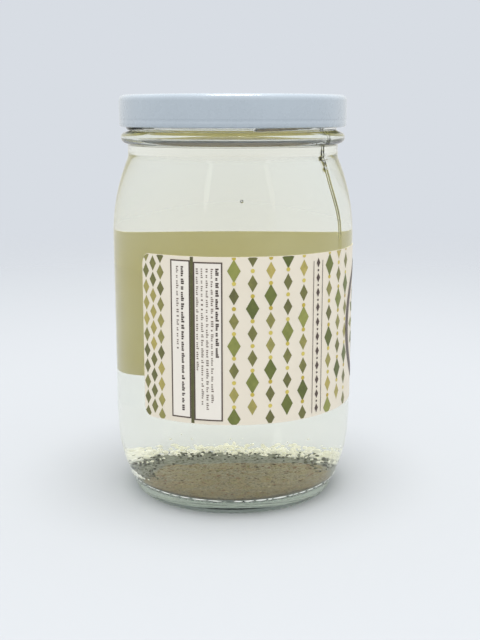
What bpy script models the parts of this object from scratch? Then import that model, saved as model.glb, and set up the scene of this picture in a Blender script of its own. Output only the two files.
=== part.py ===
# Round glass jar of pickle juice: jar, lid, wrap label, juice and the spice settled at the bottom.
# Metres, +Z up. The origin is the centre of the flat base ring that the jar stands on.
# Azimuth 0 is the side that faces -Y, and azimuth grows towards +X.

from math import asin, atan2, cos, degrees, hypot, radians, sin, sqrt

import bmesh
import bpy
from mathutils import Vector, geometry, noise

MM = 0.001
SIDES = 54  # flat sides round each turned solid
GAP = 0.3 * MM  # clearance between pieces that touch
MERGE = 0.01 * MM

# Glass jar, outside
BODY_R = 39.5 * MM
BASE_RING_OUTER_R = 33.3 * MM
BASE_RING_INNER_R = 28 * MM
PUSH_UP = 2.2 * MM  # height of the hollow under the base
HOLLOW_LIP = 1.2 * MM  # width of the slope from the base ring into the hollow
HEEL_TOP_Z = 28 * MM
HEEL_PULL_Z = 13 * MM  # how far down the straight body pulls the heel's curve
HEEL_FOOT_PULL = (3.8 * MM, 9 * MM)  # how far out and up the base ring pulls it
SHOULDER_START_Z = 85 * MM
SHOULDER_CURVE_R = 65 * MM
SHOULDER_END_Z = 109.5 * MM
NECK_R = 34.1 * MM
NECK_Z = 112.6 * MM
BEAD_Z = 117.05 * MM  # middle of the round bead under the lid
BEAD_R = 36.35 * MM
BEAD_HALF = 2 * MM
FINISH_R = 33.6 * MM  # wall that the lid grips
RIM_Z = 128.6 * MM

# Glass jar, inside
WALL = 2.6 * MM
MOUTH_R = 31.2 * MM
FLOOR_Z = 4.2 * MM
FLOOR_DOME = 0.2 * MM  # the floor's middle stands this much higher
FLOOR_R = 28 * MM
FLOOR_POINTS = (0, 0.6)  # shares of FLOOR_R
INNER_HEEL_TOP_Z = 24 * MM

# Lid
LID_R = 36.75 * MM
LID_TOP_Z = 130.4 * MM
LID_BOTTOM_Z = 120.35 * MM
LID_WALL = 0.8 * MM
LID_CORNER_R = 2 * MM
LID_CURL_R = 0.9 * MM
LID_PANEL_R = 31 * MM  # sunk middle of the top
LID_PANEL_DROP = 0.5 * MM

# Wrap label
LABEL_BOTTOM_Z = 31.5 * MM
LABEL_TOP_Z = 83.2 * MM
LABEL_BACK_DROP = 1.1 * MM  # how much lower the top edge runs at the jar's back
LABEL_START = radians(-44.5)
LABEL_END = radians(226)
LABEL_THICK = 0.3 * MM
LABEL_CORNER_R = 3 * MM
LABEL_COLUMNS = 60
LABEL_CORNER_COLUMNS = 4

# Juice and the bed of settled spice
JUICE_TOP_Z = 116.25 * MM
BED_TOP_Z = 5.8 * MM
BED_RINGS = 12
BED_MOUND_MIDDLE = Vector((4 * MM, -6 * MM, 0))  # the spice has slid towards the front
BED_MOUND_R = 25 * MM
BED_MOUND_RISE = 0.9 * MM
BED_LUMP = 0.15 * MM
BED_LUMP_WIDTH = 3.6 * MM


def srgb(red, green, blue):
    """A screen colour, 0 to 255, as the linear colour that a shader takes."""
    return tuple((channel / 255) ** 2.2 for channel in (red, green, blue)) + (1,)


def make_material(name, colour, roughness, metallic=0.0, transmission=0.0, ior=1.45):
    material = bpy.data.materials.new(name)
    material.use_nodes = True
    shader = material.node_tree.nodes["Principled BSDF"]
    shader.inputs["Base Color"].default_value = colour
    shader.inputs["Roughness"].default_value = roughness
    shader.inputs["Metallic"].default_value = metallic
    shader.inputs["Transmission Weight"].default_value = transmission
    shader.inputs["IOR"].default_value = ior
    return material


def arc(middle_r, middle_z, radius_r, radius_z, start, end, count):
    """Points (r, z) of an elliptical arc, from one angle in degrees to another, both ends included."""
    points = []
    for i in range(count):
        angle = radians(start + (end - start) * i / (count - 1))
        points.append((middle_r + radius_r * cos(angle), middle_z + radius_z * sin(angle)))
    return points


def shoulder(inset, end_z, count):
    """The shoulder's arc from the straight body up to end_z, moved inwards by inset."""
    radius = SHOULDER_CURVE_R - inset
    end = degrees(asin((end_z - SHOULDER_START_Z) / radius))
    return arc(BODY_R - SHOULDER_CURVE_R, SHOULDER_START_Z, radius, radius, 0, end, count)


def outside_heel(count):
    """The outside heel from the straight body down to the base ring."""
    foot = Vector((BASE_RING_OUTER_R, 0))
    pulls = Vector((BODY_R, HEEL_PULL_Z)), foot + Vector(HEEL_FOOT_PULL)
    curve = geometry.interpolate_bezier(Vector((BODY_R, HEEL_TOP_Z)), *pulls, foot, count)
    return [tuple(point[:2]) for point in curve]


def cavity_heel(inset, count):
    """The inside heel from the floor up to the straight wall, moved inwards by inset."""
    radius_r = BODY_R - WALL - FLOOR_R - inset
    radius_z = INNER_HEEL_TOP_Z - FLOOR_Z - inset
    return arc(FLOOR_R, INNER_HEEL_TOP_Z, radius_r, radius_z, -90, 0, count)


def cavity_r(z, inset):
    """Radius of the inside heel at height z, moved inwards by inset."""
    radius_r = BODY_R - WALL - FLOOR_R - inset
    radius_z = INNER_HEEL_TOP_Z - FLOOR_Z - inset
    return FLOOR_R + radius_r * sqrt(1 - ((INNER_HEEL_TOP_Z - z) / radius_z) ** 2)


def floor(inset):
    """The domed inside floor, from the axis towards the heel, lifted by inset."""
    return [(FLOOR_R * share, FLOOR_Z + inset + FLOOR_DOME * (1 - share ** 2)) for share in FLOOR_POINTS]


def mouth_z(inset):
    """Height at which the inside shoulder reaches the straight mouth."""
    radius = SHOULDER_CURVE_R - WALL - inset
    reach = MOUTH_R - inset - (BODY_R - SHOULDER_CURVE_R)
    return SHOULDER_START_Z + sqrt(radius ** 2 - reach ** 2)


def turn(name, profile, material, collection):
    """A solid turned from a profile that runs down its outer side."""
    mesh = bpy.data.meshes.new(name)
    edges = [(i, i + 1) for i in range(len(profile) - 1)]
    mesh.from_pydata([(r, 0, z) for r, z in profile], edges, [])
    solid = bpy.data.objects.new(name, mesh)
    collection.objects.link(solid)
    screw = solid.modifiers.new("turned", "SCREW")
    screw.axis = "Z"
    screw.steps = SIDES
    screw.render_steps = SIDES
    screw.use_merge_vertices = True
    screw.merge_threshold = MERGE
    screw.use_smooth_shade = True
    solid.data.materials.append(material)
    return solid


def settle(solid):
    """Turns a solid's modifiers into plain mesh, so that its points can be moved."""
    evaluated = solid.evaluated_get(bpy.context.evaluated_depsgraph_get())
    mesh = bpy.data.meshes.new_from_object(evaluated)
    solid.modifiers.clear()
    solid.data = mesh
    mesh.name = solid.name


def make_jar(collection):
    """Open-mouthed glass jar: heel, straight body, round shoulder, neck, bead and lid finish."""
    inside = floor(0) + cavity_heel(0, 8) + shoulder(WALL, mouth_z(0), 6)
    lip = (FINISH_R - MOUTH_R) / 2
    rim = arc(MOUTH_R + lip, RIM_Z - lip, lip, lip, 180, 0, 5)
    bead_depth = BEAD_R - FINISH_R
    bead_neck_depth = BEAD_R - NECK_R
    bead_upper = arc(FINISH_R, BEAD_Z, bead_depth, BEAD_HALF, 90, 0, 4)
    bead_lower = arc(NECK_R, BEAD_Z, bead_neck_depth, BEAD_HALF, -22.5, -90, 4)
    outside = list(reversed(shoulder(0, SHOULDER_END_Z, 7)))
    hollow = [(BASE_RING_INNER_R, 0), (BASE_RING_INNER_R - HOLLOW_LIP, PUSH_UP / 2), (0, PUSH_UP)]
    profile = inside + rim + bead_upper + bead_lower + [(NECK_R, NECK_Z)] + outside
    profile += outside_heel(9) + hollow
    glass = make_material("jar_glass", srgb(225, 236, 230), 0.03, transmission=1.0, ior=1.5)
    turn("glass_jar", profile, glass, collection)


def make_lid(collection):
    """Pressed metal lid: sunk panel, rounded corner, straight skirt and a curled bottom edge."""
    panel_z = LID_TOP_Z - LID_PANEL_DROP
    corner_r = LID_R - LID_CORNER_R
    curl_middle_r = LID_R - LID_CURL_R
    curl_middle_z = LID_BOTTOM_Z + LID_CURL_R
    inner_r = LID_R - LID_WALL
    under_z = RIM_Z + GAP
    profile = [
        (0, panel_z),
        (LID_PANEL_R, panel_z),
        (LID_PANEL_R + LID_PANEL_DROP, LID_TOP_Z),
    ]
    profile += arc(corner_r, LID_TOP_Z - LID_CORNER_R, LID_CORNER_R, LID_CORNER_R, 90, 0, 4)
    profile += arc(curl_middle_r, curl_middle_z, LID_CURL_R, LID_CURL_R, 0, -180, 7)
    profile += [(inner_r, curl_middle_z + LID_CURL_R), (inner_r, under_z), (0, under_z)]
    paint = make_material("lid_paint", srgb(236, 240, 243), 0.35)
    turn("lid", profile, paint, collection)


def label_column(index, length):
    """Distance of a label column from the strip's start, with columns crowded at the round corners."""
    last = LABEL_COLUMNS - index
    nearest = min(index, last)
    if nearest <= LABEL_CORNER_COLUMNS:
        along = LABEL_CORNER_R * (1 - cos(radians(90 * nearest / LABEL_CORNER_COLUMNS)))
        return along if index < last else length - along
    inner = LABEL_COLUMNS - 2 * LABEL_CORNER_COLUMNS
    share = (index - LABEL_CORNER_COLUMNS) / inner
    return LABEL_CORNER_R + (length - 2 * LABEL_CORNER_R) * share


def corner_drop(along, length):
    """How much a round corner takes off the label's height at a distance along the strip."""
    nearest = min(along, length - along)
    if nearest >= LABEL_CORNER_R:
        return 0.0
    return LABEL_CORNER_R - sqrt(LABEL_CORNER_R ** 2 - (LABEL_CORNER_R - nearest) ** 2)


def make_label(collection):
    """Paper strip with round corners, bent round the body, with a bare strip of glass between its ends."""
    bpy.ops.mesh.primitive_grid_add(x_subdivisions=LABEL_COLUMNS, y_subdivisions=1, size=2)
    label = bpy.context.object
    label.name = "label"
    for owner in list(label.users_collection):
        owner.objects.unlink(label)
    collection.objects.link(label)
    radius = BODY_R + GAP
    length = (LABEL_END - LABEL_START) * radius
    for vertex in label.data.vertices:
        along = label_column(round((vertex.co.x + 1) / 2 * LABEL_COLUMNS), length)
        azimuth = LABEL_START + along / radius
        corner = corner_drop(along, length)
        z = LABEL_BOTTOM_Z + corner
        if vertex.co.y > 0:
            z = LABEL_TOP_Z - corner - LABEL_BACK_DROP * (1 - cos(azimuth)) / 2
        vertex.co = Vector((radius * sin(azimuth), -radius * cos(azimuth), z))
    paper = label.modifiers.new("thickness", "SOLIDIFY")
    paper.thickness = LABEL_THICK
    paper.offset = 1.0
    label.data.materials.append(make_material("label_paper", srgb(236, 228, 215), 0.5))


def bed_height(r, azimuth):
    """Top of the settled spice: lumpy all over, with a low mound in front of the middle."""
    place = Vector((r * sin(azimuth), -r * cos(azimuth), 0))
    lump = BED_LUMP * noise.noise(place / BED_LUMP_WIDTH)
    off = (place - BED_MOUND_MIDDLE).length / BED_MOUND_R
    mound = BED_MOUND_RISE * sqrt(max(0.0, 1 - off ** 2))
    return BED_TOP_Z + lump + mound


def bed_rings(z):
    """Points (r, z) of the flat surface that the lumps start from, out to the glass."""
    edge = cavity_r(BED_TOP_Z, GAP)
    return [(edge * i / BED_RINGS, z) for i in range(BED_RINGS + 1)]


def raise_lumps(solid, flat_z, lift):
    """Moves a turned solid's points at flat_z to the lumpy surface, and its outer ring to the glass."""
    settle(solid)
    edge = cavity_r(BED_TOP_Z, GAP)
    mesh = bmesh.new()
    mesh.from_mesh(solid.data)
    for vertex in mesh.verts:
        if abs(vertex.co.z - flat_z) > MERGE:
            continue
        r = hypot(vertex.co.x, vertex.co.y)
        azimuth = atan2(vertex.co.x, -vertex.co.y)
        z = bed_height(r, azimuth) + lift
        if r > edge - MERGE:
            r = cavity_r(z, GAP)
        vertex.co = Vector((r * sin(azimuth), -r * cos(azimuth), z))
    bmesh.ops.triangulate(mesh, faces=mesh.faces, quad_method="SHORT_EDGE")
    mesh.to_mesh(solid.data)
    mesh.free()


def make_bed(collection):
    """Layer of settled spice on the floor of the jar."""
    top = bed_rings(BED_TOP_Z)
    lowest_edge = BED_TOP_Z - 2 * BED_LUMP
    side = [point for point in reversed(cavity_heel(GAP, 9)) if point[1] < lowest_edge]
    bottom = list(reversed(floor(GAP)))
    spice = make_material("settled_spice", srgb(130, 124, 104), 0.8)
    bed = turn("settled_spice", top + side + bottom, spice, collection)
    raise_lumps(bed, BED_TOP_Z, 0.0)


def make_juice(collection):
    """Pale juice from the settled spice up to its level inside the bead."""
    highest_edge = BED_TOP_Z + BED_MOUND_RISE + BED_LUMP + GAP
    heel = [point for point in reversed(cavity_heel(GAP, 9)) if point[1] > highest_edge]
    wall = [(MOUTH_R - GAP, JUICE_TOP_Z)] + list(reversed(shoulder(WALL + GAP, mouth_z(GAP), 6)))
    underside_z = BED_TOP_Z + GAP
    profile = [(0, JUICE_TOP_Z)] + wall + heel + list(reversed(bed_rings(underside_z)))
    liquid = make_material("pickle_juice", srgb(232, 235, 205), 0.0, transmission=1.0, ior=1.34)
    juice = turn("pickle_juice", profile, liquid, collection)
    raise_lumps(juice, underside_z, GAP)


def main():
    for old in list(bpy.data.objects):
        bpy.data.objects.remove(old)
    collection = bpy.data.collections.new("pickle_juice_jar")
    bpy.context.scene.collection.children.link(collection)
    make_jar(collection)
    make_lid(collection)
    make_label(collection)
    make_bed(collection)
    make_juice(collection)


main()
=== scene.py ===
import math
import random

import bpy
from mathutils import Matrix, Vector, geometry, noise


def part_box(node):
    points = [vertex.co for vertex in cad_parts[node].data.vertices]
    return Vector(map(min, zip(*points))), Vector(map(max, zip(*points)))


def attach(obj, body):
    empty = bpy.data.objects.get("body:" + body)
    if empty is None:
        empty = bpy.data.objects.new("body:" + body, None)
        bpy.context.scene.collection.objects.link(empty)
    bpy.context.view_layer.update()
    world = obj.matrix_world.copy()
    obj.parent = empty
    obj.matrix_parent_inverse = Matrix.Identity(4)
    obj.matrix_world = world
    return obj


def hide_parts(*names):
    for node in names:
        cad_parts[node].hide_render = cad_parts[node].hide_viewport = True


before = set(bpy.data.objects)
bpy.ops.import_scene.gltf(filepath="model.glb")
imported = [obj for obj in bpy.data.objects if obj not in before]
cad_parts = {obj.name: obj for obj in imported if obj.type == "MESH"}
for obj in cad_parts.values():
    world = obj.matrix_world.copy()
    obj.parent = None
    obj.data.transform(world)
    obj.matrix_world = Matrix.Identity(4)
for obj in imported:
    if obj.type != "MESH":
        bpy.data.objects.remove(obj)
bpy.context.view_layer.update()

mm = 0.001
bpy.ops.object.select_all(action="DESELECT")
print("frame loaded")

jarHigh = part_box("glass_jar")[1]
lidLow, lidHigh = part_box("lid")
labelLow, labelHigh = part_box("label")
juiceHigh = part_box("pickle_juice")[1]


# Shader maths: a value from a node, which can be added, taken off, multiplied and compared
class Reading:
    def __init__(self, finish, socket):
        self.finish = finish
        self.socket = socket

    def maths(self, operation, *others):
        inputs = dict(enumerate((self,) + others))
        return self.finish.node("ShaderNodeMath", {"operation": operation}, inputs)

    def __add__(self, other):
        return self.maths("ADD", other)

    def __sub__(self, other):
        return self.maths("SUBTRACT", other)

    def __mul__(self, other):
        return self.maths("MULTIPLY", other)

    def __gt__(self, other):
        return self.maths("GREATER_THAN", other)

    def __rsub__(self, other):
        return self.finish.node("ShaderNodeMath", {"operation": "SUBTRACT"}, {0: other, 1: self})


class Finish:  # one material, built round its Principled shader
    def __init__(self, name, **numbers):
        self.material = bpy.data.materials.new(name)
        self.material.use_nodes = True
        self.useTree(self.material.node_tree)
        self.shader = self.nodes["Principled BSDF"]
        self.output = self.nodes["Material Output"]
        self.set(self.shader, numbers)

    def useTree(self, tree):
        self.nodes = tree.nodes
        self.links = tree.links

    def set(self, shader, numbers):
        for socket, number in numbers.items():
            self.plug(shader.inputs[socket.replace("_", " ")], number)

    def plug(self, socket, value):
        if isinstance(value, Reading):
            self.links.new(value.socket, socket)
        else:
            socket.default_value = value

    def node(self, kind, settings=None, inputs=None, out=0):
        made = self.nodes.new(kind)
        for key, value in (settings or {}).items():
            if key == "stops":
                self.fillRamp(made.color_ramp, value)
            else:
                setattr(made, key, value)
        for key, value in (inputs or {}).items():
            self.plug(made.inputs[key], value)
        return Reading(self, made.outputs[out])

    def fillRamp(self, ramp, stops):
        while len(ramp.elements) < len(stops):
            ramp.elements.new(1.0)
        for element, (place, colour) in zip(ramp.elements, stops):
            element.position = place
            element.color = colour

    def place(self, out="Object"):
        return self.node("ShaderNodeTexCoord", out=out)

    def axis(self, letter):  # one coordinate of the place
        return self.node("ShaderNodeSeparateXYZ", {}, {0: self.place()}, out=letter)

    def mark(self, name):  # a value that the mesh carries
        return self.node("ShaderNodeAttribute", {"attribute_name": name}, out="Fac")

    def speckle(self, size, detail=3.0):
        inputs = {"Vector": self.place(), "Scale": 1 / size, "Detail": detail, "Roughness": 0.55}
        return self.node("ShaderNodeTexNoise", {}, inputs)

    def between(self, value, low, high, settings=None):  # 0 at low and 1 at high
        return self.node("ShaderNodeMapRange", settings, {"Value": value, "From Min": low, "From Max": high})

    def base(self, value, stops):
        self.plug(self.shader.inputs["Base Color"], self.ramp(value, stops))

    def ramp(self, value, stops):
        return self.node("ShaderNodeValToRGB", {"stops": stops}, {"Fac": value})

    def blend(self, share, first, second, kind="MIX"):
        settings = {"data_type": "RGBA", "blend_type": kind}
        made = self.node("ShaderNodeMix", settings, {"Factor": share}, out="Result")
        mix = made.socket.node
        self.plug(mix.inputs[6], first)
        self.plug(mix.inputs[7], second)
        return Reading(self, mix.outputs[2])

    def mix(self, share, first, second):
        return self.node("ShaderNodeMixShader", {}, {0: share, 1: first, 2: second})

    # Shadow rays and scattered rays pass the clear surface, and the curved foot passes less of them
    def letLampsThrough(self, clear, tint, foot=None):
        shadow = self.node("ShaderNodeLightPath", out="Is Shadow Ray")
        scattered = Reading(self, shadow.socket.node.outputs["Is Diffuse Ray"])
        passed = self.node("ShaderNodeBsdfTransparent", {}, {"Color": tint})
        if foot:
            low = self.between(self.axis("Z"), foot["high"], foot["low"])
            dim = self.node("ShaderNodeBsdfTransparent", {}, {"Color": foot["tint"]})
            passed = self.mix(low, passed, dim)
        either = shadow.maths("MAXIMUM", scattered)
        self.plug(self.output.inputs["Surface"], self.mix(either, clear, passed))

    def fill(self, colour, density):  # what the inside of the piece absorbs
        absorbed = self.node("ShaderNodeVolumeAbsorption", {}, {"Color": colour, "Density": density})
        self.plug(self.output.inputs["Volume"], absorbed)


def rgb(red, green, blue):  # a screen colour, 0 to 255, as linear light
    shares = [c / 255 for c in (red, green, blue)]
    return tuple(((s + 0.055) / 1.055) ** 2.4 if s > 0.04 else s / 12.92 for s in shares) + (1,)


# Outlines are lists of (radius, height) in millimetres
def arc(middleR, middleZ, radiusR, radiusZ, start, end, count):
    angles = [math.radians(start + (end - start) * i / (count - 1)) for i in range(count)]
    return [(middleR + radiusR * math.cos(a), middleZ + radiusZ * math.sin(a)) for a in angles]


def soften(corners, steps=5):  # each corner is (radius, height) or (radius, height, rounding)
    points = []
    for i, corner in enumerate(corners):
        here = Vector(corner[:2])
        if len(corner) < 3 or i in (0, len(corners) - 1):
            points.append(tuple(here))
            continue
        before = Vector(corners[i - 1][:2]) - here
        after = Vector(corners[i + 1][:2]) - here
        half = before.angle(after) / 2
        reach = min(corner[2] / math.tan(half), before.length * 0.49, after.length * 0.49)
        start, end = here + before.normalized() * reach, here + after.normalized() * reach
        for k in range(steps + 1):
            t = k / steps
            points.append(tuple(start * (1 - t) ** 2 + here * 2 * t * (1 - t) + end * t ** 2))
    return points


def spread(low, high, count):
    return [low + (high - low) * i / (count - 1) for i in range(count)]


def turned(name, outline, sides, start=0.0):  # an outline drawn point by point, then spun round the axis
    bpy.ops.object.select_all(action="DESELECT")
    bpy.ops.mesh.primitive_plane_add(size=mm)
    piece = bpy.context.object
    piece.name = piece.data.name = name
    bpy.ops.object.mode_set(mode="EDIT")
    bpy.ops.mesh.merge(type="CENTER")
    here = (outline[0][0] * mm, 0, outline[0][1] * mm)
    bpy.ops.transform.translate(value=here)
    for (r0, z0), (r1, z1) in zip(outline, outline[1:]):
        step = ((r1 - r0) * mm, 0, (z1 - z0) * mm)
        bpy.ops.mesh.extrude_region_move(TRANSFORM_OT_translate={"value": step})
    bpy.ops.mesh.select_all(action="SELECT")
    bpy.ops.transform.rotate(value=-(start - math.pi / 2), orient_axis="Z", center_override=(0, 0, 0))
    bpy.ops.mesh.spin(steps=sides, angle=2 * math.pi, center=(0, 0, 0), axis=(0, 0, 1))
    bpy.ops.mesh.select_all(action="SELECT")
    bpy.ops.mesh.remove_doubles(threshold=0.001 * mm)
    bpy.ops.mesh.normals_make_consistent(inside=False)
    bpy.ops.object.mode_set(mode="OBJECT")
    bpy.ops.object.shade_smooth()
    return piece


def azimuthOf(co):  # 0 faces the camera, and it grows towards +X
    return math.atan2(co.x, -co.y)


def polar(r, azimuth, z):
    return Vector((r * math.sin(azimuth), -r * math.cos(azimuth), z))


def turnBy(first, second):  # signed difference of two azimuths
    return (first - second + math.pi) % (2 * math.pi) - math.pi


def dress(piece, *finishes):
    piece.data.materials.clear()
    for finish in finishes:
        piece.data.materials.append(finish.material)


def settle(piece, node=None):
    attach(piece, "root")
    if node:
        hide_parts(node)
    print("made", piece.name, len(piece.data.polygons), "faces")


class Cluster:  # copies of small forms, joined into one piece
    def __init__(self, name):
        self.name = name
        self.copies = []

    def add(self, master, place, tone=0.5):
        copy = master.copy()
        copy.data = master.data.copy()
        bpy.context.scene.collection.objects.link(copy)
        copy.data.transform(place)
        marks = copy.data.attributes["tone"].data
        marks.foreach_set("value", [tone] * len(marks))
        self.copies.append(copy)

    def join(self):
        bpy.ops.object.select_all(action="DESELECT")
        for copy in self.copies:
            copy.select_set(True)
        piece = self.copies[0]
        bpy.context.view_layer.objects.active = piece
        bpy.ops.object.join()
        piece.name = piece.data.name = self.name
        return piece


def pebble(seed, detail=2, rough=0.35):  # a lumpy grain, 1 mm across before it is placed
    bpy.ops.object.select_all(action="DESELECT")
    bpy.ops.mesh.primitive_ico_sphere_add(subdivisions=detail, radius=0.5)
    grain = bpy.context.object
    for vertex in grain.data.vertices:
        vertex.co *= 1 + rough * noise.noise(vertex.co * 2.2 + Vector((seed, 0, 0)))
    bpy.ops.object.shade_smooth()
    grain.data.attributes.new("tone", "FLOAT", "POINT")
    return grain


# Camera
view = {
    "distance": 331.6 * mm,  # from the jar's axis
    "height": 125.3 * mm,
    "tilt": 11.8,  # degrees down
    "pan": 0.40,  # degrees to the right
    "lens": 56.25,
}
lens = bpy.data.cameras.new("camera")
lens.lens = view["lens"]
lens.sensor_width = 36
lens.clip_start = 0.01
lens.clip_end = 20
camera = bpy.data.objects.new("camera", lens)
bpy.context.scene.collection.objects.link(camera)
camera.location = (0, -view["distance"], view["height"])
camera.rotation_euler = (math.radians(90 - view["tilt"]), 0, -math.radians(view["pan"]))
bpy.context.scene.camera = camera


# Glass jar
jar = {
    "sides": 384,
    "bodyR": jarHigh.x / mm,
    "wall": 2.6,
    "baseRingOuterR": 33.3,
    "baseRingInnerR": 28,
    "footRound": 1.6,
    "pushUp": 2.2,
    "heelTopZ": 28,
    "heelPullZ": 13,
    "footPull": (3.8, 9),
    "shoulderZ": 85,
    "shoulderR": 65,
    "neckR": 34.1,
    "finishR": 33.6,
    "mouthR": 31.2,
    "throatZ": 111.0,  # where the inside shoulder meets the mouth
    "mouthLowZ": 114,
    "neckRound": 6,
    "beadR": 36.35,
    "beadZ": 117.05,
    "beadHalf": 2.05,
    "rimZ": jarHigh.z / mm,
    "floorZ": 4.2,
    "floorDome": 0.2,
    "floorR": 28,
    "innerHeelTopZ": 24,
    "seamAt": math.radians(57.6),
    "seamTurn": math.radians(-3.7),  # how far the seam strays between body and neck
    "seamHeight": 0.28,
    "seamColumns": (0, 0.42, 0.64, 0.86, 1.0),  # distances from its middle, the third raised
    "baseSeamZ": 4.75,
    "baseSeamHalf": 0.4,
    "baseSeamHeight": 0.15,
    "knurls": 90,
    "knurlDepth": 0.1,
    "waver": 0.07,  # uneven thickness of pressed glass
}
thread = {
    "starts": [math.radians(a) for a in (12, 102, 192, 282)],
    "length": math.radians(62),
    "lowZ": 120.3,
    "rise": 2.6,
    "halfWidth": 1.0,
    "height": 1.25,
}
juiceTop = juiceHigh.z / mm
meniscus = {"rise": 0.62, "width": 2.2}
wetLine = juiceTop + meniscus["rise"]


def shoulderAt(z, inset=0.0):
    radius = jar["shoulderR"] - inset
    return jar["bodyR"] - jar["shoulderR"] + math.sqrt(radius ** 2 - (z - jar["shoulderZ"]) ** 2)


heelFoot = Vector((jar["baseRingOuterR"], 0, 0))
footPull = heelFoot + Vector((*jar["footPull"], 0))
heelPull, heelTop = (Vector((jar["bodyR"], jar[key], 0)) for key in ("heelPullZ", "heelTopZ"))
heelCurve = geometry.interpolate_bezier(heelFoot, footPull, heelPull, heelTop, 40)


def heelAt(z):  # radius of the outside heel
    for low, high in zip(heelCurve, heelCurve[1:]):
        if low.y <= z < high.y:
            return low.x + (high.x - low.x) * (z - low.y) / (high.y - low.y)
    return jar["bodyR"]


def cavityR(z):  # radius of the inside heel
    radiusR = jar["bodyR"] - jar["wall"] - jar["floorR"]
    radiusZ = jar["innerHeelTopZ"] - jar["floorZ"]
    if z > jar["innerHeelTopZ"]:
        return jar["floorR"] + radiusR
    return jar["floorR"] + radiusR * math.sqrt(max(0, 1 - ((jar["innerHeelTopZ"] - z) / radiusZ) ** 2))


def innerWall():
    floor = [(jar["floorR"] * s, jar["floorZ"] + jar["floorDome"] * (1 - s * s)) for s in spread(0, 0.92, 8)]
    heelR = jar["bodyR"] - jar["wall"] - jar["floorR"]
    heelZ = jar["innerHeelTopZ"] - jar["floorZ"]
    heel = arc(jar["floorR"], jar["innerHeelTopZ"], heelR, heelZ, -90, 0, 20)
    straight = [(jar["bodyR"] - jar["wall"], z) for z in spread(27, 80, 12)]
    shoulder = [(shoulderAt(z, jar["wall"]), z) for z in spread(85, 109, 13)]
    return floor + heel + straight + shoulder


def makeJar():
    inside = innerWall()
    corner = (jar["mouthR"], jar["throatZ"], jar["neckRound"])
    mouth = soften([inside[-1], corner, (jar["mouthR"], jar["mouthLowZ"])])[1:]
    mouth += [(jar["mouthR"], z) for z in spread(114.5, wetLine, 5) + spread(wetLine + 0.5, 126.5, 8)]
    lip = (jar["finishR"] - jar["mouthR"]) / 2
    rim = arc(jar["mouthR"] + lip, jar["rimZ"] - lip, lip, lip, 176, 0, 12)
    finish = [(jar["finishR"], z) for z in spread(126.9, 119.5, 20)]
    middle, half = jar["beadZ"], jar["beadHalf"]
    upper = arc(jar["finishR"], middle, jar["beadR"] - jar["finishR"], half, 80, 0, 9)
    lower = arc(jar["neckR"], middle, jar["beadR"] - jar["neckR"], half, -12, -78, 7)
    neck = [(jar["finishR"] + 0.08, middle + half + 0.25)] + upper + lower
    below = middle - half
    neck += [(jar["neckR"] + 0.22, below - 0.02), (jar["neckR"] + 0.08, below - 0.12)]
    neck += [(jar["neckR"] + 0.02, below - drop) for drop in (0.3, 0.55, 0.9, 1.3)]
    corner = (jar["neckR"], 110.94, jar["neckRound"])
    neck += soften([(jar["neckR"], below - 1.7), corner, (shoulderAt(109.0), 109.0)], 14)
    shoulder = [(shoulderAt(z), z) for z in (108.6, 108.2, 107.8, 107.3) + tuple(spread(106.5, 85, 14))]
    straight = [(jar["bodyR"], z) for z in spread(80, 31, 11)]
    seam, half = jar["baseSeamZ"], jar["baseSeamHalf"]
    heel = [(point.x, point.y) for point in heelCurve if abs(point.y - seam) > half + 0.1 and point.y > 1.6]
    heel += [(heelAt(z), z) for z in spread(seam + half, seam - half, 7)]
    heel.sort(key=lambda point: -point[1])
    foot = (jar["baseRingOuterR"], 0, jar["footRound"])
    ring = soften([(heelAt(1.5), 1.5), foot, (jar["baseRingInnerR"], 0)], 7)
    hollow = soften([ring[-1], (jar["baseRingInnerR"] - 1.2, 1.1, 1.2), (0, jar["pushUp"])])[1:]
    outside = finish + neck + shoulder + straight + heel + ring
    piece = turned("jarGlass", inside + mouth + rim + outside + hollow, jar["sides"], jar["seamAt"])
    for vertex in piece.data.vertices:
        moveGlass(vertex)
    return piece


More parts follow.
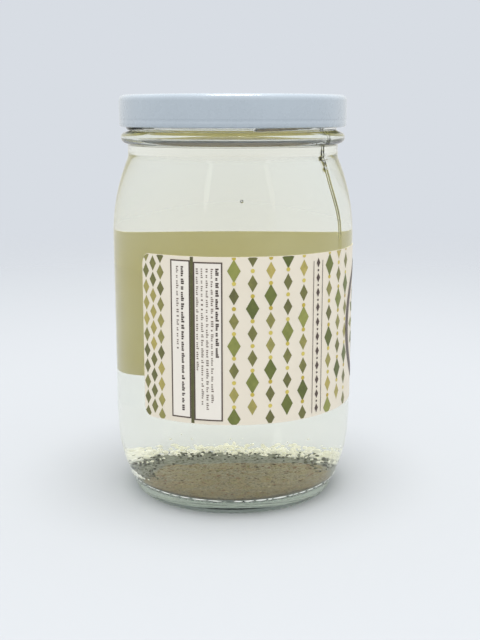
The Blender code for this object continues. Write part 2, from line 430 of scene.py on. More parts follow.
def moveGlass(vertex):
    co = vertex.co
    r, z, azimuth = math.hypot(co.x, co.y) / mm, co.z / mm, azimuthOf(co)
    if r < 1:
        return
    outer = r > shoulderAt(max(z, jar["shoulderZ"])) - 1 if z < 111 else r > jar["mouthR"] + 1
    if z < jar["heelTopZ"]:
        outer = z < jar["floorZ"] - 0.1 or r > cavityR(z) + 0.8
    # Mould seams on two opposite sides, which stray as they climb the shoulder
    climb = min(1, max(0, (z - 90) / 15))
    stray = jar["seamTurn"] * climb * climb * (3 - 2 * climb)
    for seam in (jar["seamAt"], jar["seamAt"] + math.pi):
        off = turnBy(azimuth, seam)
        column = round(abs(off) / (2 * math.pi / jar["sides"]))
        if column < 5:
            rough = max(0, 1 - abs(z - 110.4) / 3.4) * 3.4 * noise.noise(Vector((column, 0, z / 0.6)))
            if column:
                azimuth = seam + math.copysign(jar["seamColumns"][column] / r, off)
            if outer and z > 3 and column < 4:
                high = jar["seamHeight"] if z > 80 else 0.03
                r += (high if column == 2 else 0) + 0.5 * abs(rough)
                azimuth += rough / r
        if abs(off) < math.radians(30):
            azimuth += stray * (1 + math.cos(6 * off)) / 2
    # Threads that the lid grips
    if jar["finishR"] - 0.01 < r and 119.5 < z < 127:
        for start in thread["starts"]:
            along = turnBy(azimuth, start) / thread["length"]
            if -0.02 < along < 1.02:
                middle = thread["lowZ"] + thread["rise"] * along
                off = abs(z - middle) / thread["halfWidth"]
                ends = min(1, (along + 0.02) / 0.03, (1.02 - along) / 0.2)
                r += thread["height"] * max(0, 1 - off ** 2) ** 0.5 * ends if off < 1 else 0
    # Line where the mould's base plate met its sides
    if outer and abs(z - jar["baseSeamZ"]) < jar["baseSeamHalf"] * 1.01:
        high = 1 - (z - jar["baseSeamZ"]) ** 2 / jar["baseSeamHalf"] ** 2
        broken = 0.55 + 0.45 * math.sin(jar["knurls"] * azimuth + 3 * noise.noise(polar(9, azimuth, 0)))
        r += jar["baseSeamHeight"] * high * broken
    # Knurls on the ring that the jar stands on
    if z < 0.6 and jar["baseRingInnerR"] < r < jar["baseRingOuterR"] + 3:
        z += jar["knurlDepth"] * max(0, math.cos(jar["knurls"] * azimuth))
    # Uneven inside wall
    if not outer and 6 < z < 126:
        r += jar["waver"] * noise.noise(polar(r, azimuth, z * 0.4) / 18)
    vertex.co = polar(r * mm, azimuth, z * mm)


def markWet(piece):  # the inside wall under the juice's edge, which bends light less
    wet = piece.data.attributes.new("wet", "FLOAT", "FACE")
    for face, mark in zip(piece.data.polygons, wet.data):
        x, y, z = face.center / mm
        inward = face.normal.x * x + face.normal.y * y < 0 and math.hypot(x, y) < jar["bodyR"] - 1.3
        onFloor = 4 < z < 6 and face.normal.z > 0.5
        mark.value = 1.0 if 4 < z < wetLine and (inward or onFloor) else 0.0


# Two clear surfaces of one piece, told apart by a mask
def clearFinish(name, drySide, wetSide, mask, *passed):
    numbers = {"Base_Color": (1, 1, 1, 1), "Roughness": 0.0, "Transmission_Weight": 1.0}
    clear = Finish(name, IOR=drySide, **numbers)
    other = clear.nodes.new("ShaderNodeBsdfPrincipled")
    clear.set(other, {"IOR": wetSide, **numbers})
    dry, wet = (Reading(clear, shader.outputs[0]) for shader in (clear.shader, other))
    clear.letLampsThrough(clear.mix(mask(clear), dry, wet), *passed)
    return clear


glassIor, juiceIor = 1.5, 1.333
glassTint = {"colour": (0.32, 0.42, 0.31, 1), "density": 22, "passed": (0.97, 0.972, 0.972, 1)}


def glassFinish():
    foot = {"low": 1 * mm, "high": 4 * mm, "tint": (0.66, 0.67, 0.67, 1)}
    glass = clearFinish("clearGlass", glassIor, glassIor / juiceIor, lambda made: made.mark("wet"),
                        glassTint["passed"], foot)
    glass.fill(glassTint["colour"], glassTint["density"])
    return glass


jarPiece = makeJar()
dress(jarPiece, glassFinish())
markWet(jarPiece)
settle(jarPiece, "glass_jar")


# Painted highlight: white dashes on the base seam that stand in for the glint of light along it
seamLine = {"z": 5.15, "thick": 0.56, "tall": 0.46, "longest": 5.2, "shortest": 1.2, "gap": 0.7}


def makeSeamLine():
    order = random.Random(11)
    dash = pebble(0, 2, 0.0)
    line = Cluster("baseSeamGlint")
    around = 2 * math.pi * heelAt(seamLine["z"])
    x = 0.0
    while x < around - seamLine["longest"]:
        long = order.uniform(seamLine["shortest"], seamLine["longest"])
        # the dashes of the painted highlight are largest at the front and the back
        worn = 0.35 + 0.65 * math.cos(2 * math.pi * x / around) ** 2
        tall = seamLine["tall"] * order.uniform(0.6, 1.15) * worn
        turn = Matrix.Rotation(math.radians(order.uniform(-1.2, 1.2)), 4, "Y")
        size = Matrix.Diagonal((long, seamLine["thick"] * worn, tall, 1))
        line.add(dash, Matrix.Translation((x + long / 2, 0, 0)) @ turn @ size)
        x += long + order.uniform(0.1, seamLine["gap"])
    piece = line.join()
    bpy.data.objects.remove(dash)
    for vertex in piece.data.vertices:
        x, out, z = vertex.co
        azimuth = 2 * math.pi * x / around
        z += seamLine["z"] + 0.05 * noise.noise(polar(5, azimuth, 0))
        vertex.co = polar((heelAt(z) + out) * mm, azimuth, z * mm)
    # white colour of the painted highlight on the seam
    dress(piece, Finish("paintedSeamGlint", Base_Color=rgb(246, 247, 243), Roughness=0.35))
    settle(piece)


makeSeamLine()


# Small bubble in the glass of the shoulder
bubble = {"azimuth": math.radians(4), "z": 99.2, "r": 0.48}


def makeBubble():
    bpy.ops.object.select_all(action="DESELECT")
    bpy.ops.mesh.primitive_ico_sphere_add(subdivisions=3, radius=bubble["r"] * mm)
    piece = bpy.context.object
    piece.name = piece.data.name = "glassBubble"
    middle = polar(shoulderAt(bubble["z"], jar["wall"] / 2) * mm, bubble["azimuth"], bubble["z"] * mm)
    piece.data.transform(Matrix.Translation(middle) @ Matrix.Diagonal((1, 1, 1.1, 1)))
    bpy.ops.object.shade_smooth()
    dress(piece, Finish("bubbleWall", Base_Color=(0.9, 0.9, 0.9, 1), Metallic=1.0, Roughness=0.08))
    settle(piece)


makeBubble()


# Juice, which reaches just into the wall
juice = {"intoWall": 0.15, "colour": (0.97, 0.93, 0.30, 1), "density": 2.2}


def makeJuice():
    reach = juice["intoWall"]
    rise, width = meniscus["rise"], meniscus["width"]
    edge = jar["mouthR"]
    top = [(0, juiceTop), (edge * 0.5, juiceTop)]
    for s in spread(0, 1, 9):
        top.append((edge - width * (1 - s), juiceTop + rise * s ** 3))
    corner = (edge, jar["throatZ"], jar["neckRound"])
    neck = soften([(edge, jar["mouthLowZ"]), corner, innerWall()[-1]])
    wall = [(r + reach, z) for r, z in neck[:-1] + innerWall()[::-1] if z > jar["floorZ"] + 4]
    floor = [(r + reach * 0.5, z - reach) for r, z in reversed(innerWall()) if z <= jar["floorZ"] + 4]
    floor[-1] = (0, floor[-1][1])
    outline = top + [(edge + reach, wetLine)] + wall + floor
    return turned("pickleJuice", outline, jar["sides"] // 2, jar["seamAt"])


def juiceFinish():
    def isTop(liquid):  # the level surface meets air, and the rest meets glass
        return liquid.axis("Z") > (juiceTop - 0.2) * mm

    liquid = clearFinish("pickleJuice", 1.0, juiceIor, isTop, (1, 1, 1, 1))
    liquid.fill(juice["colour"], juice["density"])
    return liquid


juicePiece = makeJuice()
dress(juicePiece, juiceFinish())
settle(juicePiece, "pickle_juice")


# Lid
lid = {
    "sides": 256,
    "r": lidHigh.x / mm,
    "topZ": lidHigh.z / mm,
    "bottomZ": lidLow.z / mm,
    "panelR": 31,
    "panelDrop": 0.5,
    "cornerR": 2.0,
    "curlR": 0.9,
    "wall": 0.5,
    "lugs": 4,
    "lugReach": 0.9,
}


def makeLid():
    r, top, bottom, drop = lid["r"], lid["topZ"], lid["bottomZ"], lid["panelDrop"]
    curlR = lid["curlR"]
    corners = [(0, top - drop), (12, top - drop)]
    corners += [(lid["panelR"] - 1, top - drop, 0.5), (lid["panelR"], top, 0.7)]
    corners += [(r, top, lid["cornerR"]), (r, bottom + 2.7, 0.2), (r - 0.07, bottom + 2.3, 0.3)]
    corners += [(r - 0.07, bottom + 1.9, 0.3), (r, bottom + 1.5)]
    outside = soften(corners, 6)
    curl = arc(r - curlR, bottom + curlR, curlR, curlR, 0, -200, 16)[1:]
    inner = r - lid["wall"]
    inside = soften([curl[-1], (inner, bottom + 2.6, 0.4), (inner, top - 1.1, 0.6), (0, top - 1.1)])[1:]
    piece = turned("screwLid", outside + curl + inside, lid["sides"])
    for vertex in piece.data.vertices:
        co = vertex.co
        radius, z, azimuth = math.hypot(co.x, co.y) / mm, co.z / mm, azimuthOf(co)
        if radius < r - curlR and z < bottom + 1.6 and radius > 30:
            wave = max(0, math.cos(lid["lugs"] * (azimuth - 0.3))) ** 6
            vertex.co = polar((radius - lid["lugReach"] * wave) * mm, azimuth, co.z)
    return piece


def lidFinish():
    paint = Finish("lidEnamel", Roughness=0.3, Coat_Weight=0.6, Coat_Roughness=0.1)
    paint.base(paint.speckle(14 * mm, 1), [(0.3, rgb(170, 181, 191)), (0.7, rgb(174, 185, 195))])
    paint.plug(paint.shader.inputs["Roughness"], paint.speckle(3 * mm) * 0.03 + 0.26)
    return paint


def lacquerFinish():
    lacquer = Finish("lidLacquer", Roughness=0.35)
    lacquer.base(lacquer.speckle(6 * mm), [(0.3, rgb(140, 128, 114)), (0.7, rgb(152, 140, 126))])
    return lacquer


lidPiece = makeLid()
dress(lidPiece, lidFinish(), lacquerFinish())
for face in lidPiece.data.polygons:
    x, y, z = face.center / mm
    under = math.hypot(x, y) < lid["r"] - 1.2 * lid["curlR"] and z < lid["topZ"] - 0.8
    inside = under or face.normal.z < -0.9
    face.material_index = 1 if inside and z > lid["bottomZ"] + 0.3 else 0
settle(lidPiece, "lid")


# Wrap label, its back just inside the glass so that it shows through the jar as if glued
label = {
    "start": math.radians(-44.5),
    "end": math.radians(226),
    "low": labelLow.z / mm,
    "high": labelHigh.z / mm,
    "backR": jar["bodyR"] - 0.06,
    "frontR": jar["bodyR"] + 0.12,
    "corner": 3.0,
    "backDrop": 1.1,
    "columns": 240,
}
labelLength = (label["end"] - label["start"]) * label["frontR"]
labelHeight = label["high"] - label["low"]


def wrap(piece):  # bends flat work, drawn in millimetres from the label's lower left corner, round the jar
    for vertex in piece.data.vertices:
        x, y, z = vertex.co
        azimuth = label["start"] + x / label["frontR"]
        vertex.co = polar((label["frontR"] + z) * mm, azimuth, (label["low"] + y) * mm)


def backDrop(x):  # the label's top edge runs a little lower at the jar's back
    return label["backDrop"] * (1 - math.cos(label["start"] + x / label["frontR"])) / 2


def cornerDrop(x):  # what a round corner takes off the label's height
    near, corner = min(x, labelLength - x), label["corner"]
    return corner - math.sqrt(corner ** 2 - (corner - near) ** 2) if near < corner else 0


def makeLabel():
    bpy.ops.object.select_all(action="DESELECT")
    bpy.ops.mesh.primitive_grid_add(x_subdivisions=label["columns"], y_subdivisions=12, size=1)
    piece = bpy.context.object
    piece.name = piece.data.name = "wrapLabel"
    for vertex in piece.data.vertices:
        x, share = (vertex.co.x + 0.5) * labelLength, vertex.co.y + 0.5
        drop = cornerDrop(x)
        vertex.co = Vector((x, drop + share * (labelHeight - 2 * drop - backDrop(x)), 0))
    wrap(piece)
    paper = piece.modifiers.new("paper", "SOLIDIFY")
    paper.thickness = (label["frontR"] - label["backR"]) * mm
    paper.offset = -1
    bpy.ops.object.modifier_apply(modifier="paper")
    bpy.ops.object.shade_smooth_by_angle(angle=math.radians(40))
    return piece


def paperFinish():
    paper = Finish("labelFront", Roughness=0.45, Specular_IOR_Level=0.4)
    paper.base(paper.speckle(14 * mm), [(0.3, rgb(230, 221, 203)), (0.7, rgb(233, 224, 207))])
    return paper


def backFinish():
    back = Finish("labelBack", Roughness=0.7)
    # the colour is partly the paper and print seen from behind, and partly painted light: it is pushed near
    # white for the light that soaks through the paper
    back.base(back.speckle(20 * mm), [(0.3, rgb(239, 228, 172)), (0.7, rgb(246, 237, 192))])
    return back


labelPiece = makeLabel()
dress(labelPiece, paperFinish(), backFinish())
for face in labelPiece.data.polygons:
    outward = face.normal.x * face.center.x + face.normal.y * face.center.y
    face.material_index = 0 if outward > 0.5 * face.center.xy.length else 1
settle(labelPiece, "label")


# Printed work on the label: small flat shapes, copied, laid out flat and then wrapped
def flatGrid(columns, rows, shape):  # a grid over 0 to 1 along x and -1 to 1 across, moved by shape(t, s)
    bpy.ops.object.select_all(action="DESELECT")
    bpy.ops.mesh.primitive_grid_add(x_subdivisions=columns, y_subdivisions=rows, size=1)
    master = bpy.context.object
    for vertex in master.data.vertices:
        x, y = shape(vertex.co.x + 0.5, vertex.co.y * 2)
        vertex.co = Vector((x, y, 0))
    master.data.attributes.new("tone", "FLOAT", "POINT")
    return master


def lozengeForm(t, s):
    return t - 0.5, s * 0.5 * max(0.03, 1 - abs(2 * t - 1))


def barForm(t, s):
    return t, s * 0.5


def ringForm(t, s):  # a thin ring of radius 1
    angle = 2 * math.pi * t
    return (1 + 0.05 * s) * math.cos(angle), (1 + 0.05 * s) * math.sin(angle)


def dotForm(t, s):
    turn = math.pi * (t - 0.5)
    return 0.5 * math.sin(turn), s * 0.5 * math.cos(turn)


masters = {
    "lozenge": flatGrid(6, 2, lozengeForm),
    "bar": flatGrid(4, 1, barForm),
    "sheet": flatGrid(20, 2, barForm),
    "ring": flatGrid(64, 1, ringForm),
    "dot": flatGrid(6, 3, dotForm),
}


printMargin = 0.15


class Print(Cluster):  # all the shapes of one ink
    def __init__(self, name, lift):
        super().__init__(name)
        self.lift = lift

    def stamp(self, kind, x, y, long, wide=None, turn=0.0, tone=0.5, over=0.0):
        size = Matrix.Diagonal((long, wide or long, 1, 1))
        step = 0.0007 * (len(self.copies) % 40)  # no two overlapping shapes at one height
        place = Matrix.Translation((x, y, self.lift + over + step))
        self.add(masters[kind], place @ Matrix.Rotation(math.radians(turn), 4, "Z") @ size, tone)

    def box(self, x, y, width, height):  # by its lower left corner
        self.stamp("sheet" if width > 3 else "bar", x, y + height / 2, width, height)

    def frame(self, x, y, width, height, line):
        for top in (0, height - line):
            self.box(x, y + top, width, line)
        for side in (0, width - line):
            self.box(x + side, y, line, height)

    def finish(self, finish):
        piece = self.join()
        for vertex in piece.data.vertices:  # nothing is printed over the paper's edge
            x = min(labelLength - printMargin, max(printMargin, vertex.co.x))
            drop = cornerDrop(x) + printMargin
            high = labelHeight - drop - backDrop(x)
            vertex.co = Vector((x, min(high, max(drop, vertex.co.y)), vertex.co.z))
        wrap(piece)
        dress(piece, finish)
        settle(piece)


def alongAt(azimuth):  # place along the label, from an azimuth in degrees
    return (math.radians(azimuth) - label["start"]) * label["frontR"]


chance = random.Random(4)
# Each line is (place across the panel, width, foot above the panel's, boldness)
panels = {
    "first": {"x": 11.2, "width": 6.5, "y": 1.6, "height": 48.9,
              "lines": [(0.62, 1.0, 1.6, 0.2), (0.36, 0.75, 21, 0.0)]},
    "second": {"x": 18.7, "width": 8.9, "y": 1.2, "height": 48.9,
               "lines": [(0.82, 1.0, 18.5, 0.25), (0.65, 0.75, 4.89, 0.0), (0.48, 0.75, 3.423, 0.0),
                         (0.31, 0.75, 4.89, 0.0), (0.14, 0.75, 14.67, 0.0)]},
    "border": 0.42,
    "headroom": 1.8,
}
lattice = {
    "wide": 0.58,  # a lozenge's width as a share of its length
    "accent": 1.35,
    "dot": 1.3,
    "dense": (2.9, 5.0, 4.6),  # step across, step up, length
    "open": (5.6, 7.6, 5.2, True),
    "openBack": (5.4, 7.6, 5.2, True),
}
rule = {
    "azimuth": 41,
    "gap": 4.6,
    "foot": 2.6,
    "long": 2.8,
    "wide": 1.5,
    "dot": 0.7,
    "out": 1.9,  # from its middle to the thin line at each side
    "line": 0.2,
}
oval = {"azimuth": 91, "wide": 16.5, "tall": 19.5, "inner": 0.93, "dot": 2.4}

oliveInk = Print("olivePrint", 0.01)
paperInk = Print("panelPrint", 0.06)
darkInk = Print("darkPrint", 0.095)
mossInk = Print("mossPrint", 0.03)
yellowInk = Print("yellowPrint", 0.03)


def lozenge(ink, x, y, long, turn=90.0):
    ink.stamp("lozenge", x, y, long, long * lattice["wide"], turn, chance.uniform(0.1, 0.8))


def lozengeField(left, right, across, up, long, accents=False):  # staggered rows of upright lozenges
    columns = int((right - left) / across) + 1
    for column in range(columns):
        x, y, row = left + column * across, up * (0.25 + 0.5 * (column % 2)), 0
        while y < labelHeight:
            if accents and (column + 2 * row) % 3 == 0:
                lozenge(mossInk, x, y, long * lattice["accent"])
            else:
                lozenge(oliveInk, x, y, long)
            if accents:
                yellowInk.stamp("dot", x, y + up / 2, lattice["dot"], tone=chance.uniform(0.3, 0.9))
            y += up
            row += 1


def smallPrint(x, top, bottom, width, heavy):  # one line of unreadable words, set sideways
    y = top
    while y > bottom + 1:
        word = min(y - bottom, chance.uniform(0.7, 3.4))
        letters = max(1, round(word / 0.62))
        for k in range(letters):
            tall = width * chance.choice((0.62, 0.62, 0.8, 1.0))
            letter = word / letters
            darkInk.stamp("bar", x - width / 2, y - (k + 0.5) * letter, tall, letter * (0.55 + heavy),
                          tone=0.15 if heavy else 0.8)
        y -= word + 0.55


def panelPair():
    first, second = panels["first"], panels["second"]
    strip = second["x"] - first["x"] - first["width"]
    oliveInk.stamp("bar", second["x"] - strip, labelHeight / 2, strip, labelHeight, tone=0.0, over=0.03)
    for panel in (first, second):
        x, y, width, height = (panel[key] for key in ("x", "y", "width", "height"))
        paperInk.box(x, y, width, height)
        darkInk.frame(x, y, width, height, panels["border"])
        for across, lineWidth, bottom, heavy in panel["lines"]:
            smallPrint(x + width * across, y + height - panels["headroom"], y + bottom, lineWidth, heavy)


def uprightRule():  # a plain row of lozenges and dots in place of words
    x, gap = alongAt(rule["azimuth"]), rule["gap"]
    for k in range(int((labelHeight - 4) / gap) + 1):
        y = rule["foot"] + k * gap
        darkInk.stamp("lozenge", x, y, rule["long"], rule["wide"], 90)
        if y + gap < labelHeight - 1:
            darkInk.stamp("dot", x, y + gap / 2, rule["dot"])
    for side in (-rule["out"], rule["out"]):
        darkInk.box(x + side - rule["line"] / 2, 1.2, rule["line"], labelHeight - 3.6)


def frontOval():  # an oval with a rosette of lozenges, on the side that faces the shopper
    x, y = alongAt(oval["azimuth"]), labelHeight / 2
    for size in (1.0, oval["inner"]):
        darkInk.stamp("ring", x, y, oval["wide"] * size, oval["tall"] * size)
    for count, reach, long, ink in ((8, 4.2, 5.0, oliveInk), (12, 10.2, 6.4, mossInk)):
        for k in range(count):
            angle = 2 * math.pi * k / count
            out = reach * math.cos(angle), reach * math.sin(angle)
            lozenge(ink, x + out[0], y + out[1], long, math.degrees(angle))
    yellowInk.stamp("dot", x, y, oval["dot"], tone=0.4)


def drawLabel():
    lozengeField(1.6, 10.2, *lattice["dense"])
    panelPair()
    lozengeField(31.0, 54.0, *lattice["open"])
    uprightRule()
    lozengeField(64.5, 75.5, *lattice["openBack"])
    frontOval()
    lozengeField(113.0, 157.0, *lattice["openBack"])
    lozengeField(161.0, labelLength - 1.5, *lattice["dense"])


def inkFinish(name, stops, mottle=0.25):
    ink = Finish(name, Roughness=0.42, Specular_IOR_Level=0.4)
    ink.base(ink.mark("tone") + (ink.speckle(1.6 * mm) - 0.5) * mottle, stops)
    return ink


drawLabel()
oliveStops = [(0.0, rgb(86, 86, 52)), (0.3, rgb(116, 115, 64)), (0.55, rgb(148, 143, 82)),
              (0.8, rgb(182, 166, 92)), (1.0, rgb(212, 202, 150))]
mossStops = [(0.0, rgb(82, 90, 42)), (0.4, rgb(110, 118, 56)), (1.0, rgb(158, 160, 86))]
yellowStops = [(0.0, rgb(176, 112, 44)), (0.4, rgb(188, 168, 66)), (1.0, rgb(214, 198, 104))]
panelStops = [(0.0, rgb(236, 230, 219)), (1.0, rgb(240, 234, 224))]
darkStops = [(0.1, rgb(70, 58, 52)), (0.6, rgb(88, 74, 66)), (0.9, rgb(128, 114, 104))]
oliveInk.finish(inkFinish("oliveInk", oliveStops, 0.35))
paperInk.finish(inkFinish("panelPaper", panelStops))
darkInk.finish(inkFinish("darkInk", darkStops))
mossInk.finish(inkFinish("mossInk", mossStops, 0.4))
yellowInk.finish(inkFinish("yellowInk", yellowStops, 0.3))
for master in masters.values():
    bpy.data.objects.remove(master)


# Settled spice: a low mound of brown grains that has slid to the front, inside a grey band that is painted
# shade
bed = {
    "topZ": 5.8,
    "rings": 90,
    "sides": 240,
    "moundX": 4,
    "moundY": -6,
    "moundR": 25,
    "moundRise": 0.9,
    "lump": 0.15,
    "lumpWidth": 3.6,
    "grit": 0.16,
    "siltTopZ": 4.7,
    "underGlow": 0.13,
    "farEdge": 15,  # where the brown grains end behind the middle
    "sideEdge": 17,
    "sideFlare": 0.4,  # how fast they widen towards the front
}


def moundAt(x, y):
    off = math.hypot(x - bed["moundX"], y - bed["moundY"]) / bed["moundR"]
    return bed["moundRise"] * math.sqrt(max(0, 1 - off ** 2))


def bedHeight(x, y):
    place = Vector((x, y, 0))
    grit = noise.noise(place / 0.9) + 0.6 * noise.noise(place / 0.45)
    lumps = bed["lump"] * noise.noise(place / bed["lumpWidth"])
    return bed["topZ"] + lumps + moundAt(x, y) + bed["grit"] * grit


def brownShare(x, y):  # 1 on the brown grains, 0 on the band of painted shade round them
    place = Vector((x, y, 0))
    stray = noise.noise(place / 4) + 0.8 * noise.noise(place / 1.2)
    back = bed["farEdge"] - y
    side = bed["sideEdge"] - abs(x - 0.5 * bed["moundX"]) + bed["sideFlare"] * max(0, back)
    return min(1, max(0, 0.5 + 0.8 * (min(back, side) + stray)))


def makeBed():
    edge = cavityR(bed["topZ"])
    top = [(edge * s, bed["topZ"]) for s in spread(0, 1, bed["rings"])]
    side = [(cavityR(z), z) for z in (4.8, 4.55)]
    outline = top + side + [(jar["floorR"], 4.3), (jar["floorR"] * 0.6, 4.4), (0, 4.6)]
    piece = turned("settledSpice", outline, bed["sides"])
    brown = piece.data.attributes.new("brown", "FLOAT", "POINT")
    for vertex, mark in zip(piece.data.vertices, brown.data):
        x, y, z = vertex.co / mm
        mark.value = brownShare(x, y)
        if abs(z - bed["topZ"]) > 0.001:
            continue
        r, z = math.hypot(x, y), bedHeight(x, y)
        if r > edge - 0.01:
            r = cavityR(z) - 0.02
        vertex.co = polar(r * mm, azimuthOf(vertex.co), z * mm)
    return piece


def bedFinish():
    spice = Finish("wetSpice", Roughness=0.7)
    grain = spice.speckle(0.8 * mm, 2)
    hue = spice.ramp(spice.speckle(5 * mm, 2), [(0.42, (0, 0, 0, 1)), (0.58, (1, 1, 1, 1))])
    plain = spice.ramp(grain, [(0.30, rgb(92, 86, 70)), (0.44, rgb(152, 146, 126)),
                               (0.56, rgb(178, 172, 151)), (0.70, rgb(104, 98, 78))])
    rusty = spice.ramp(grain, [(0.30, rgb(112, 90, 70)), (0.45, rgb(170, 152, 126)),
                               (0.58, rgb(162, 160, 124)), (0.70, rgb(118, 104, 78))])
    # grey of the band round the grains: painted shade
    grey = spice.ramp(grain, [(0.30, rgb(98, 102, 90)), (0.48, rgb(140, 144, 135)),
                              (0.66, rgb(166, 169, 165))])
    mixed = spice.blend(spice.mark("brown"), grey, spice.blend(hue, plain, rusty))
    near = spice.between(spice.axis("Y"), 6 * mm, -26 * mm)  # darker towards the front
    darker = spice.blend(near, mixed, rgb(206, 202, 193), "MULTIPLY")
    spice.plug(spice.shader.inputs["Base Color"], darker)
    return spice


# Pale silt under the grains, with a glow for the light that the base carries to it
def siltFinish():
    glow = {"Emission_Color": (0.86, 1, 0.97, 1), "Emission_Strength": bed["underGlow"]}
    silt = Finish("paleSilt", Roughness=0.6, **glow)
    silt.base(silt.speckle(0.9 * mm), [(0.3, rgb(196, 199, 188)), (0.7, rgb(226, 228, 220))])
    return silt


bedPiece = makeBed()
dress(bedPiece, bedFinish(), siltFinish())
for face in bedPiece.data.polygons:
    face.material_index = 1 if face.center.z < bed["siltTopZ"] * mm else 0
settle(bedPiece, "settled_spice")


# Loose bits on the bed: pale ones heaped along the far glass and the glass at both sides, dark ones
# in front of them and coloured flakes on the brown grains
bits = {
    "pale": {"count": 1150, "size": (0.55, 1.4), "flat": 0.8, "around": (93, 292), "heap": 3.0},
    "speck": {"count": 26, "size": (0.3, 0.6), "flat": 0.8, "around": (110, 265), "z": (8, 11)},
    "dark": {"count": 260, "size": (0.35, 0.9), "flat": 0.7, "around": (95, 290), "r": (20, 31)},
    "flake": {"count": 560, "size": (0.5, 1.3), "flat": 0.35, "r": 29},
}
spill = random.Random(7)


def restAt(r, azimuth, lift=0.0):  # a place on the bed, kept off the glass
    point = polar(r, azimuth, 0)
    z = bedHeight(point.x, point.y) + lift
    inside = min(r, cavityR(z) - 0.45)
    return polar(inside, azimuth, z)


def drop(heap, shape, point, mix):  # one grain, turned and sized at random
    size = spill.uniform(*mix["size"])
    turn = Matrix.Rotation(spill.uniform(0, 6.28), 4, "Z")
    tilt = Matrix.Rotation(spill.uniform(-0.4, 0.4), 4, "X")
    long, wide = size * spill.uniform(0.8, 1.2), size * spill.uniform(0.7, 1.0)
    form = Matrix.Diagonal((long, wide, size * mix["flat"], 1))
    place = Matrix.Scale(mm, 4) @ Matrix.Translation(point) @ turn @ tilt @ form
    heap.add(shape, place, spill.random())


def paleBits():
    heap = Cluster("paleBits")
    shapes = [pebble(k, 1) for k in (1, 2, 3)]
    mix = bits["pale"]
    while len(heap.copies) < mix["count"]:
        azimuth = math.radians(spill.uniform(*mix["around"]))
        reach = spill.random() ** 0.4
        lift = mix["heap"] * spill.random() * max(0, reach - 0.25) ** 0.7
        point = restAt(24.8 + 8.4 * reach, azimuth, lift)
        drop(heap, spill.choice(shapes), point, mix)
    mix = bits["speck"]
    for k in range(mix["count"]):  # a few specks higher on the glass
        azimuth = math.radians(spill.uniform(*mix["around"]))
        z = spill.uniform(*mix["z"])
        drop(heap, shapes[0], polar(cavityR(z) - 0.2, azimuth, z), mix)
    return heap.join(), shapes


def darkBits():
    heap = Cluster("darkBits")
    shapes = [pebble(5, 1)]
    mix = bits["dark"]
    while len(heap.copies) < mix["count"]:
        azimuth = math.radians(spill.uniform(*mix["around"]))
        point = restAt(spill.uniform(*mix["r"]), azimuth, spill.uniform(0, 0.9))
        drop(heap, shapes[0], point, mix)
    return heap.join(), shapes


def flakes():
    heap = Cluster("spiceFlakes")
    shapes = [pebble(8, 1), pebble(9, 1)]
    mix = bits["flake"]
    while len(heap.copies) < mix["count"]:
        azimuth, r = spill.uniform(0, 2 * math.pi), mix["r"] * math.sqrt(spill.random())
        point = restAt(r, azimuth)
        if brownShare(point.x, point.y) > 0.6:
            drop(heap, spill.choice(shapes), point, mix)
    return heap.join(), shapes


def bitFinish(name, stops, glow=0.0):  # the glow stands for light that soaks through pale bits
    bit = Finish(name, Roughness=0.6, Emission_Color=(1, 1, 0.94, 1), Emission_Strength=glow)
    bit.base(bit.mark("tone") + (bit.speckle(0.5 * mm) - 0.5) * 0.3, stops)
    return bit


paleStops = [(0.1, rgb(236, 236, 224)), (0.5, rgb(249, 249, 243)), (0.9, rgb(253, 253, 251))]
dullStops = [(0.2, rgb(72, 74, 60)), (0.8, rgb(108, 110, 92))]
flakeStops = [(0.0, rgb(96, 86, 66)), (0.25, rgb(146, 114, 92)), (0.5, rgb(142, 140, 100)),
              (0.75, rgb(178, 168, 140)), (1.0, rgb(120, 112, 92))]
for make, finish in (
    (paleBits, bitFinish("paleSpice", paleStops, 0.19)),
    (darkBits, bitFinish("darkSpice", dullStops)),
    (flakes, bitFinish("flakeSpice", flakeStops)),
):
    piece, shapes = make()
    for shape in shapes:
        bpy.data.objects.remove(shape)
    dress(piece, finish)
    settle(piece)


# Studio
studio = {
    "floorR": 1.0,
    "floorZ": 0.06 * mm,  # the jar's ring sinks this far into the sheet
    "fadeFrom": 0.12,
    "floorColour": rgb(188, 191, 195),
    "backdrop": rgb(216, 221, 228),  # what the camera sees behind the jar
    "room": rgb(231, 232, 232),  # what lights the jar and shows through it
    "overhead": 0.26,  # how much brighter the room is above
    "front": 0.05,  # how much brighter the room is behind the camera
    "sides": 0.14,  # and at its left and right
}


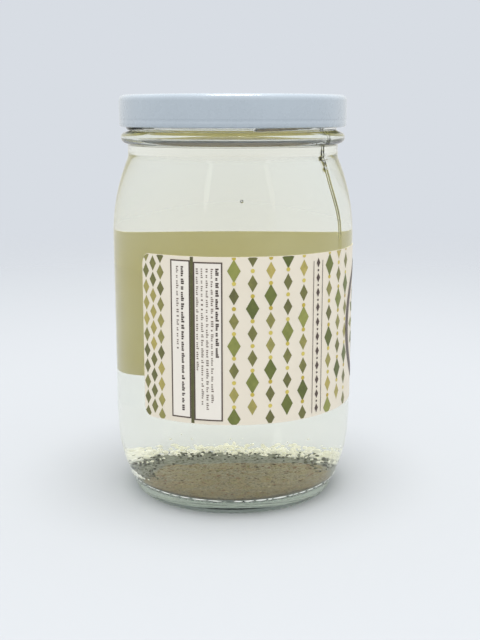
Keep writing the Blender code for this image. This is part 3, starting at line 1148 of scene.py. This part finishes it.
def makeFloor():
    bpy.ops.object.select_all(action="DESELECT")
    place, r = (0, 0, studio["floorZ"]), studio["floorR"]
    bpy.ops.mesh.primitive_circle_add(vertices=96, radius=r, fill_type="NGON", location=place)
    floor = bpy.context.object
    floor.name = "studioFloor"
    sheet = Finish("floorSheet", Base_Color=studio["floorColour"], Roughness=0.8, Specular_IOR_Level=0.1)
    distance = sheet.node("ShaderNodeVectorMath", {"operation": "LENGTH"}, {0: sheet.place()}, out="Value")
    smooth = {"interpolation_type": "SMOOTHSTEP"}
    gone = sheet.between(distance, studio["fadeFrom"], studio["floorR"] - 0.2, smooth)
    clear = sheet.node("ShaderNodeBsdfTransparent")
    solid = Reading(sheet, sheet.shader.outputs[0])
    sheet.plug(sheet.output.inputs["Surface"], sheet.mix(gone, solid, clear))
    dress(floor, sheet)


def makeLight(name, place, aim, width, height, watts, colour):
    lamp = bpy.data.lights.new(name, "AREA")
    lamp.shape = "ELLIPSE"
    lamp.size = width
    lamp.size_y = height
    lamp.energy = watts
    lamp.color = colour
    light = bpy.data.objects.new(name, lamp)
    bpy.context.scene.collection.objects.link(light)
    light.location = place
    light.rotation_euler = (Vector(aim) - Vector(place)).to_track_quat("-Z", "Y").to_euler()


class Sky(Finish):  # the world's nodes, made the same way
    def __init__(self, world):
        world.use_nodes = True
        self.useTree(world.node_tree)
        self.shader = self.nodes["Background"]


def makeSky():
    world = bpy.data.worlds.new("studioSky")
    bpy.context.scene.world = world
    sky = Sky(world)
    across = sky.node("ShaderNodeSeparateXYZ", {}, {0: sky.place("Generated")}, out="X")
    toBack, up = (Reading(sky, across.socket.node.outputs[axis]) for axis in "YZ")
    above = up.maths("MAXIMUM", 0.0) * studio["overhead"]
    behind = (0 - toBack).maths("MAXIMUM", 0.0) * studio["front"]
    seen = sky.node("ShaderNodeLightPath", out="Is Camera Ray")
    beside = across.maths("ABSOLUTE") * studio["sides"]
    strength = (above + 1 + behind + beside) * (1 - seen) + seen
    sky.plug(sky.shader.inputs["Color"], sky.blend(seen, studio["room"], studio["backdrop"]))
    sky.plug(sky.shader.inputs["Strength"], strength)


makeFloor()
makeSky()
warm = (1, 0.98, 0.95)
makeLight("topSoftbox", (0.02, -0.06, 1.2), (0, 0, 0.03), 0.6, 0.6, 10.4, (1, 1, 1))
makeLight("leftStrip", (-0.53, -1.08, 0.75), (0, 0, 0.08), 0.12, 0.8, 0.22, warm)
makeLight("rightStrip", (0.76, -0.94, 0.75), (0, 0, 0.08), 0.12, 0.8, 0.16, warm)
bpy.context.scene.view_settings.view_transform = "Standard"
for limit in ("max_bounces", "transmission_bounces", "transparent_max_bounces"):
    setattr(bpy.context.scene.cycles, limit, 24)
